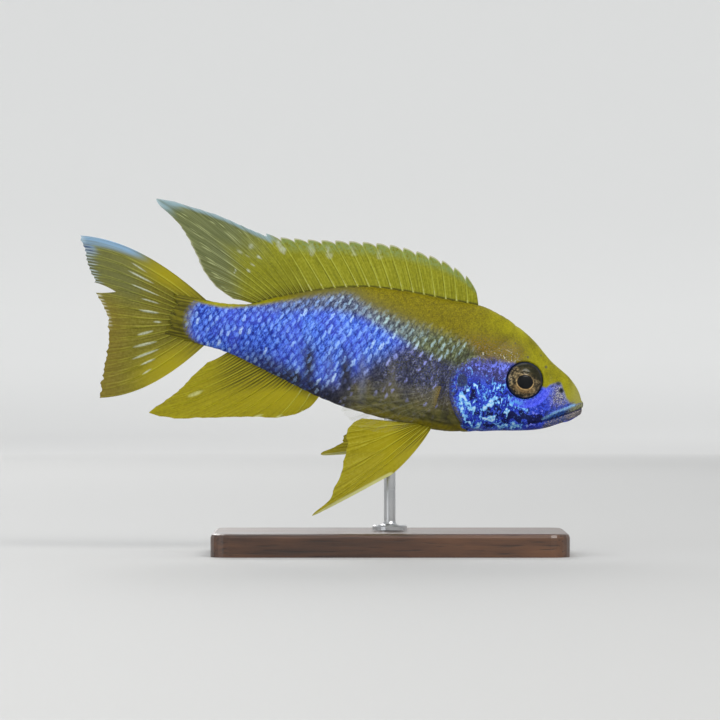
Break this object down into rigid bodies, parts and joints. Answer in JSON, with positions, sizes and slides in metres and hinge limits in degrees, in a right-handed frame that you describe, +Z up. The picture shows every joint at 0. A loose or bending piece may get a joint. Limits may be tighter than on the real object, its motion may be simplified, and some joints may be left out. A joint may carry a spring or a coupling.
{
  "type": "peacock cichlid model on a stand",
  "caption": "Life-size still model of a male peacock cichlid swimming nose down, with spread yellow fins and a blue flank, held on a steel rod over a flat wooden base.",
  "frame": {"origin": "centre of the underside of the stand's base, straight below the rod", "axes": "+X the way the fish faces, +Y to the fish's left, +Z up"},
  "size_m": [0.1308, 0.048, 0.0929],
  "materials": {
    "back_yellow": "moist skin, yellow-olive",
    "jaw_blue": "moist skin, grey-blue",
    "cheek_blue": "metallic blue skin",
    "flank_blue": "metallic blue scales",
    "fin_yellow": "yellow rayed membrane",
    "clear_fin": "clear rayed membrane",
    "eye_brown": "wet eye with a golden ring",
    "base_wood": "dark satin",
    "rod_steel": "brushed"
  },
  "bodies": {
    "root": {"head": "back_yellow", "lower_jaw": "jaw_blue", "gill_cover_right": "cheek_blue", "gill_cover_left": "cheek_blue", "trunk": "flank_blue", "tail_stalk": "flank_blue", "eye_right": "eye_brown", "eye_left": "eye_brown", "dorsal_fin": "fin_yellow", "caudal_fin": "fin_yellow", "anal_fin": "fin_yellow", "pelvic_fin_right": "fin_yellow", "pelvic_fin_left": "fin_yellow", "pectoral_fin_right": "clear_fin", "pectoral_fin_left": "clear_fin", "stand_base": "base_wood", "stand_rod": "rod_steel"}
  },
  "joints": []
}
